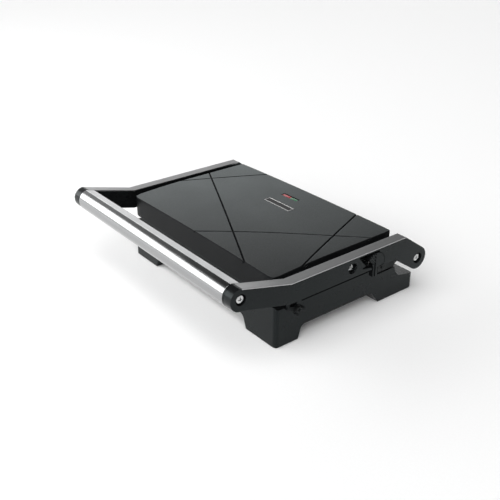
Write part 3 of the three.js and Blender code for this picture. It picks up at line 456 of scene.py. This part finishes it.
# ---------------------------------------------------------------- lid cover
class Cover:
    """The lid's cover: crowned top, falling front, rounded rim, pressed lines, window and seat."""

    WALL = 2.4 * MM
    PITCH = 7 * MM  # longest side of a grid cell
    RIM = 1.1 * MM
    RIM_STEPS = 5
    FRONT_CORNER = 7.5 * MM
    REAR_CORNER = 3.0 * MM
    CROWN = 1.3 * MM
    FALL_START = 0.45  # share of the depth, from the front, where the top starts to fall
    FALL = 2.7 * MM
    FALL_POWER = 1.7
    CLEARANCE = 0.3 * MM  # round the lenses and the name plate
    SEAT_DEPTH = 0.8 * MM
    GROOVE_WIDTH = 2.2 * MM
    GROOVE_DEPTH = 1.7 * MM
    GROOVE_POWER = 1.3  # above 1 rounds the groove's shoulders
    GROOVE_CUTS = (-0.65, -0.5, -0.33, -0.17, 0.0, 0.17, 0.33, 0.5, 0.65)  # in groove widths
    BAND = 14 * MM  # height of the ring of edges below the rim
    CHAMFER = 0.25 * MM
    SHARP = math.radians(60)
    # Plan corners in mm where the pressed lines meet, and the four lines that run through them.
    LEFT, FRONT, RIGHT = (-109.6, 32.1), (27.0, -38.1), (99.9, 36.8)
    STROKES = (
        ((-130, 42.6), LEFT, FRONT, (95, -73)),
        ((-130, -8), LEFT, (-75, 96)),
        ((-8, -74), FRONT, RIGHT, (129, 66.7)),
        ((76, 97), RIGHT, (129, -35)),
    )

    def __init__(self):
        self.low, self.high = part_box("lid_cover")
        self.middle = (self.low.xy + self.high.xy) / 2
        self.half = self.high.xy - self.middle
        self.window = self.around("power_lamp_lens", "ready_lamp_lens")
        self.seat = self.around("name_plate")

    def around(self, *nodes):
        """Plan rectangle (x0, x1, y0, y1) round CAD nodes, with their clearance."""
        boxes = [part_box(node) for node in nodes]
        return (
            min(low.x for low, high in boxes) - self.CLEARANCE,
            max(high.x for low, high in boxes) + self.CLEARANCE,
            min(low.y for low, high in boxes) - self.CLEARANCE,
            max(high.y for low, high in boxes) + self.CLEARANCE,
        )

    def build(self):
        bm = bmesh.new()
        columns, rows = (
            rimmed_lines(low, high, self.RIM, self.RIM_STEPS, self.PITCH, marks)
            for low, high, marks in (
                (self.low.x, self.high.x, self.window[:2] + self.seat[:2]),
                (self.low.y, self.high.y, self.window[2:] + self.seat[2:]),
            )
        )
        grid(bm, columns, rows, self.point)
        self.score(bm)
        self.press(bm)
        bmesh.ops.delete(bm, geom=self.faces_in(bm, self.window), context="FACES")
        self.sink_seat(bm)
        self.skirt(bm)
        for edge in bm.edges:
            edge.smooth = not edge.is_boundary and edge.calc_face_angle(0) < self.SHARP
        obj = piece("lid_cover_shell", mesh_from(bm, "lid_cover_shell"), "lid_cover")
        thick = obj.modifiers.new("wall", "SOLIDIFY")
        thick.thickness = self.WALL
        thick.offset = -1
        smooth(obj)

    def point(self, x, y):
        corner = self.FRONT_CORNER if y < self.middle.y else self.REAR_CORNER
        px, py, drop = round_off(x, y, self.middle, self.half, self.RIM, corner)
        return px, py, self.height(x, y) - drop

    def height(self, x, y):
        """Top of the cover before its lines are pressed in, and before the rim is rounded."""
        fall_from = self.low.y + (self.high.y - self.low.y) * self.FALL_START
        top = self.high.z - self.CROWN * ((x - self.middle.x) / self.half.x) ** 2
        ahead = max(0.0, (fall_from - y) / (fall_from - self.low.y))
        return top - self.FALL * ahead ** self.FALL_POWER

    def strokes(self):
        """Each straight stretch of the pressed lines as a pair of plan points, in metres."""
        for points in self.STROKES:
            for start, end in zip(points, points[1:]):
                yield Vector(start) * MM, Vector(end) * MM

    def score(self, bm):
        """Cuts the top's faces along every pressed line, across its width and just outside."""
        for start, end in self.strokes():
            along = (end - start).normalized()
            across = Vector((-along.y, along.x))
            for shift in self.GROOVE_CUTS:
                origin = start + across * shift * self.GROOVE_WIDTH
                near = self.faces_near(bm, start, end)
                parts = {part for face in near for part in (face, *face.edges, *face.verts)}
                bmesh.ops.bisect_plane(
                    bm, geom=list(parts), dist=TOUCHING,
                    plane_co=(origin.x, origin.y, 0), plane_no=(across.x, across.y, 0),
                )

    def faces_near(self, bm, start, end):
        """Faces that a line's strip touches."""
        along = (end - start).normalized()
        across = Vector((-along.y, along.x))
        length = (end - start).length
        near = []
        for face in bm.faces:
            spans = [(v.co.xy - start).dot(along) for v in face.verts]
            sides = [(v.co.xy - start).dot(across) for v in face.verts]
            if max(spans) < -self.GROOVE_WIDTH or min(spans) > length + self.GROOVE_WIDTH:
                continue
            if min(sides) < self.GROOVE_WIDTH and max(sides) > -self.GROOVE_WIDTH:
                near.append(face)
        return near

    def press(self, bm):
        """Lowers the vertices in the pressed lines to a section with rounded shoulders."""
        strokes = list(self.strokes())
        for vert in bm.verts:
            nearest = min(self.distance(vert.co.xy, start, end) for start, end in strokes)
            share = max(0.0, 1 - nearest / (self.GROOVE_WIDTH / 2))
            vert.co.z -= self.GROOVE_DEPTH * share ** self.GROOVE_POWER

    @staticmethod
    def distance(at, start, end):
        along = end - start
        share = min(1.0, max(0.0, (at - start).dot(along) / along.length_squared))
        return (at - start - along * share).length

    @staticmethod
    def faces_in(bm, area):
        """Faces whose middle lies in a plan rectangle."""
        middles = [(face, face.calc_center_median()) for face in bm.faces]
        return [f for f, m in middles if area[0] < m.x < area[1] and area[2] < m.y < area[3]]

    def sink_seat(self, bm):
        """Pushes the faces under the name plate down, leaving walls."""
        inside = self.faces_in(bm, self.seat)
        made = bmesh.ops.extrude_face_region(bm, geom=inside)
        bmesh.ops.delete(bm, geom=inside, context="FACES")
        for vert in new_verts(made):
            vert.co.z -= self.SEAT_DEPTH

    def skirt(self, bm):
        """Draws the outer rim down to the cover's lower edge, which is chamfered."""
        rim = [e for e in bm.edges if e.is_boundary and not any(map(self.by_window, e.verts))]
        for height, inset in ((self.BAND, 0), (self.CHAMFER, 0), (0, self.CHAMFER)):
            made = bmesh.ops.extrude_edge_only(bm, edges=rim)
            for vert in new_verts(made):
                vert.co.z = self.low.z + height
                vert.co.x -= math.copysign(inset, vert.co.x - self.middle.x)
                vert.co.y -= math.copysign(inset, vert.co.y - self.middle.y)
            new_edges = [e for e in made["geom"] if isinstance(e, bmesh.types.BMEdge)]
            rim = [e for e in new_edges if e.is_boundary]

    def by_window(self, vert):
        x0, x1, y0, y1 = self.window
        return x0 - MM < vert.co.x < x1 + MM and y0 - MM < vert.co.y < y1 + MM


Cover().build()


# ---------------------------------------------------------------- screws
ROUND = 96  # sides of a screw head
# Ring radii on the face as shares of the head's: evenly over the recess, then closer at the edge.
RECESS = [i / 22 * 0.66 for i in range(23)]
SHOULDER = [0.75, 0.84, 0.91, 0.96, 0.99, 1.0]
# The rest as shares of the head's radius too.
DOME, RECESS_DEPTH, HEAD_DEPTH, SHANK = 0.16, 0.42, 0.5, 0.44
EDGE_START = 0.9  # where the face starts to slope off at 45 degrees
SCREW_EDGE = 0.08 * MM


def cross_drop(y, z, radius):
    """Depth share of a cross recess: two tapering slots that meet in a deeper middle."""
    reach, half = radius * 0.5, radius * 0.13
    slots = []
    for along, across in ((abs(y), abs(z)), (abs(z), abs(y))):
        end = min(1.0, max(0.0, (reach - along) / (reach * 0.35)))
        side = min(1.0, max(0.0, (half - across) / (half * 0.6)))
        slots.append(end * side)
    return max(slots)


def screw(node):
    """A raised cross-head screw that stands for a CAD screw; it faces away from the middle."""
    low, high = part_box(node)
    side = 1 if low.x > 0 else -1
    face, tail = (high.x, low.x) if side > 0 else (low.x, high.x)
    radius = (high.z - low.z) / 2
    mid_y, mid_z = (low.y + high.y) / 2, (low.z + high.z) / 2
    bm = bmesh.new()

    def ring(r, place_of):
        """A ring of vertices of radius r; place_of(y, z) gives the X of each."""
        made = []
        for k in range(ROUND):
            angle = 2 * math.pi * k / ROUND
            y, z = r * math.cos(angle), r * math.sin(angle)
            made.append(bm.verts.new((place_of(y, z), mid_y + y, mid_z + z)))
        return made

    def face_ring(share):
        """A ring on the domed face, with the cross recess and a sloping edge."""
        fall = radius * (DOME * share ** 2 + max(0, share - EDGE_START))

        def place_of(y, z):
            return face - side * (fall + RECESS_DEPTH * radius * cross_drop(y, z, radius))

        return ring(radius * share, place_of)

    rings = [face_ring(share) for share in RECESS + SHOULDER]
    under_head = face - side * HEAD_DEPTH * radius
    shank = SHANK * radius
    for r, x in ((radius, under_head), (shank, under_head), (shank, tail)):
        rings.append(ring(r, lambda y, z: x))
    for inner, outer in zip(rings, rings[1:]):
        for k in range(ROUND):
            after = (k + 1) % ROUND
            bm.faces.new((inner[k], inner[after], outer[after], outer[k]))
    bm.faces.new(rings[-1])
    bmesh.ops.remove_doubles(bm, verts=bm.verts, dist=TOUCHING)
    obj = piece(f"{node}_head", mesh_from(bm, node), node)
    round_edges(obj, SCREW_EDGE, 40)
    smooth(obj)


for kind in ("handle_screw", "hinge_screw", "pivot_screw"):
    for side in ("right", "left"):
        screw(f"{kind}_{side}")


# ---------------------------------------------------------------- lamp lenses
LENS_RIM = 0.7 * MM
LENS_RIM_STEPS = 4
LENS_PITCH = 0.8 * MM
LENS_BOW = 0.45 * MM


def lamp_lens(node):
    """A domed lens with a soft rim on top of its straight body."""
    low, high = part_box(node)
    middle = (low.xy + high.xy) / 2
    half = high.xy - middle

    def top(x, y):
        px, py, drop = round_off(x, y, middle, half, LENS_RIM, LENS_RIM)
        u, v = (px - middle.x) / half.x, (py - middle.y) / half.y
        return px, py, high.z - drop - LENS_BOW * (0.4 * u ** 2 + 0.6 * v ** 2)

    bm = bmesh.new()
    columns, rows = (
        rimmed_lines(start, end, LENS_RIM, LENS_RIM_STEPS, LENS_PITCH)
        for start, end in ((low.x, high.x), (low.y, high.y))
    )
    grid(bm, columns, rows, top)
    made = bmesh.ops.extrude_edge_only(bm, edges=[e for e in bm.edges if e.is_boundary])
    for vert in new_verts(made):
        vert.co.z = low.z
    bmesh.ops.holes_fill(bm, edges=[e for e in bm.edges if e.is_boundary])
    smooth(piece(f"{node}_domed", mesh_from(bm, node), node))


lamp_lens("power_lamp_lens")
lamp_lens("ready_lamp_lens")


# ---------------------------------------------------------------- name plate
def name_plate_finish():
    """Blank plate: a bright raised border round a dark brushed field."""
    look = Look("name_plate_finish", 0.35, 1.0)
    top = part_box("name_plate")[1].z
    height = look.add("ShaderNodeSeparateXYZ", Vector=look.place).outputs["Z"]
    border = look.span(height, 0.0, 1.0, top - 0.18 * MM, top - 0.12 * MM)
    lines = look.noise(2400, 3, (0.012, 1, 1))
    field = look.blend(look.span(lines, 0, 1), grey(0.035), grey(0.07))
    bright = look.blend(look.span(lines, 0, 1), grey(0.55), grey(0.75))
    look.colour(look.blend(border, field, bright))
    look.rough(look.span(lines, 0.28, 0.42))
    look.bump(lines, 0.008 * MM)
    return look.material


# ---------------------------------------------------------------- CAD nodes that stay
EDGE_RADIUS = {  # mm, by the start of a node's name
    "base_casing": 0.7,
    "arm_right": 0.6,
    "arm_left": 0.6,
    "arm_trim": 0.3,
    "lid_frame": 0.6,
    "lower_grill_plate": 0.9,
    "upper_grill_plate": 0.9,
    "handle_strip": 0.4,
    "handle_tube": 0.25,
    "storage_lock_hook": 0.5,
    "release_lever": 0.25,
    "foot_pad": 0.5,
}
SMALL_EDGE_RADIUS = 0.18


def edge_radius(name):
    """How far a CAD node's edges are rounded."""
    for start, radius in EDGE_RADIUS.items():
        if name.startswith(start):
            return radius * MM
    return SMALL_EDGE_RADIUS * MM


for name, obj in sorted(NODES.items()):
    if obj.hide_render:
        continue
    obj.data.materials.clear()
    obj.data.materials.append(MATERIALS[SLOT_OF[name]])
    soften(obj, edge_radius(name))
NODES["name_plate"].data.materials[0] = name_plate_finish()
NODES["handle_strip"].data.materials[0] = brushed("handle_strip_finish", 0.66, 0.3, "x")


# ---------------------------------------------------------------- floor, light and camera
FLOOR_SIZE = 40.0
FLOOR_CELLS = 40
MIDDLE = (0.0, 0.0, 0.05)  # of the object, for the softbox to face

KEY_DIRECTION = (0.45, -0.85, 1.0)
KEY_STRENGTH = 3.9
KEY_SPREAD = 70  # degrees across, which keeps its shadows soft

SOFTBOX_PLACE = (-1.1, -1.05, 0.60)  # in front and to the left, for the band along the tube
SOFTBOX_SIZE = (1.3, 0.85)
SOFTBOX_POWER = 11.5

CAMERA_PLACE = (0.5821, -0.4535, 0.4130)
CAMERA_TURN = (62.907, 0.0, 51.723)  # degrees
CAMERA_LENS, CAMERA_SENSOR = 52.895, 36.0  # mm

# Studio walls: pairs of height, as a direction's Z, and brightness. A share of the direction's X
# is added to its height, so that the right side is darker than the left.
FOOT, CEILING = (0.12, 1.0), (1.0, 0.03)
BETWEEN = ((0.45, 0.40), (0.60, 0.10), (0.70, 0.04))
X_SHARE = 0.9
LEFT_WALL = -0.7  # the X at which height alone counts
WALL_STRENGTH = 1.15


def floor():
    bm = bmesh.new()
    steps = [FLOOR_SIZE * (i / FLOOR_CELLS - 0.5) for i in range(FLOOR_CELLS + 1)]
    grid(bm, steps, steps, lambda x, y: (x, y, 0.0))
    obj = in_scene("floor", mesh_from(bm, "floor"))
    look = Look("floor_card", 0.6)
    look.colour(look.blend(look.span(look.noise(500, 2), 0, 1), grey(0.93), grey(0.95)))
    look.rough(look.span(look.noise(300, 2), 0.55, 0.7))
    look.bump(look.noise(800, 2), 0.01 * MM)
    obj.data.materials.append(look.material)


def key_light(direction, strength, spread):
    """A wide soft key that lights the whole floor evenly."""
    light = bpy.data.lights.new("key", "SUN")
    light.energy = strength
    light.angle = math.radians(spread)
    obj = in_scene("key", light)
    obj.rotation_euler = Vector(direction).to_track_quat("Z", "Y").to_euler()


def area_light(name, position, target, size, power):
    light = bpy.data.lights.new(name, "AREA")
    light.shape = "RECTANGLE"
    light.size, light.size_y = size
    light.energy = power
    obj = in_scene(name, light)
    obj.location = position
    facing = Vector(target) - Vector(position)
    obj.rotation_euler = facing.to_track_quat("-Z", "Y").to_euler()
    obj.visible_camera = False


def surroundings():
    """Studio walls: white at the foot, darker towards the ceiling and towards the right."""
    world = bpy.data.worlds.new("studio")
    world.use_nodes = True
    nodes, links = world.node_tree.nodes, world.node_tree.links
    nodes.clear()
    output = nodes.new("ShaderNodeOutputWorld")
    background = nodes.new("ShaderNodeBackground")
    ramp = nodes.new("ShaderNodeValToRGB")
    direction = nodes.new("ShaderNodeTexCoord")
    slant = nodes.new("ShaderNodeVectorMath")
    slant.operation = "DOT_PRODUCT"
    slant.inputs[1].default_value = (X_SHARE, 0, 1)
    shift = nodes.new("ShaderNodeMath")
    shift.inputs[1].default_value = -X_SHARE * LEFT_WALL
    links.new(direction.outputs["Generated"], slant.inputs[0])
    links.new(slant.outputs["Value"], shift.inputs[0])
    links.new(shift.outputs[0], ramp.inputs[0])
    links.new(ramp.outputs[0], background.inputs[0])
    links.new(background.outputs[0], output.inputs[0])
    stops = ramp.color_ramp.elements
    for stop, (position, level) in zip(stops, (FOOT, CEILING)):
        stop.position = position
        stop.color = (level, level, level, 1)
    for position, level in BETWEEN:
        stops.new(position).color = (level, level, level, 1)
    background.inputs[1].default_value = WALL_STRENGTH
    bpy.context.scene.world = world


def camera():
    data = bpy.data.cameras.new("camera")
    data.lens, data.sensor_width = CAMERA_LENS, CAMERA_SENSOR
    obj = in_scene("camera", data)
    obj.location = CAMERA_PLACE
    obj.rotation_euler = [math.radians(a) for a in CAMERA_TURN]
    bpy.context.scene.camera = obj


floor()
surroundings()
key_light(KEY_DIRECTION, KEY_STRENGTH, KEY_SPREAD)
area_light("handle_softbox", SOFTBOX_PLACE, MIDDLE, SOFTBOX_SIZE, SOFTBOX_POWER)
camera()
bpy.context.scene.view_settings.view_transform = "Standard"
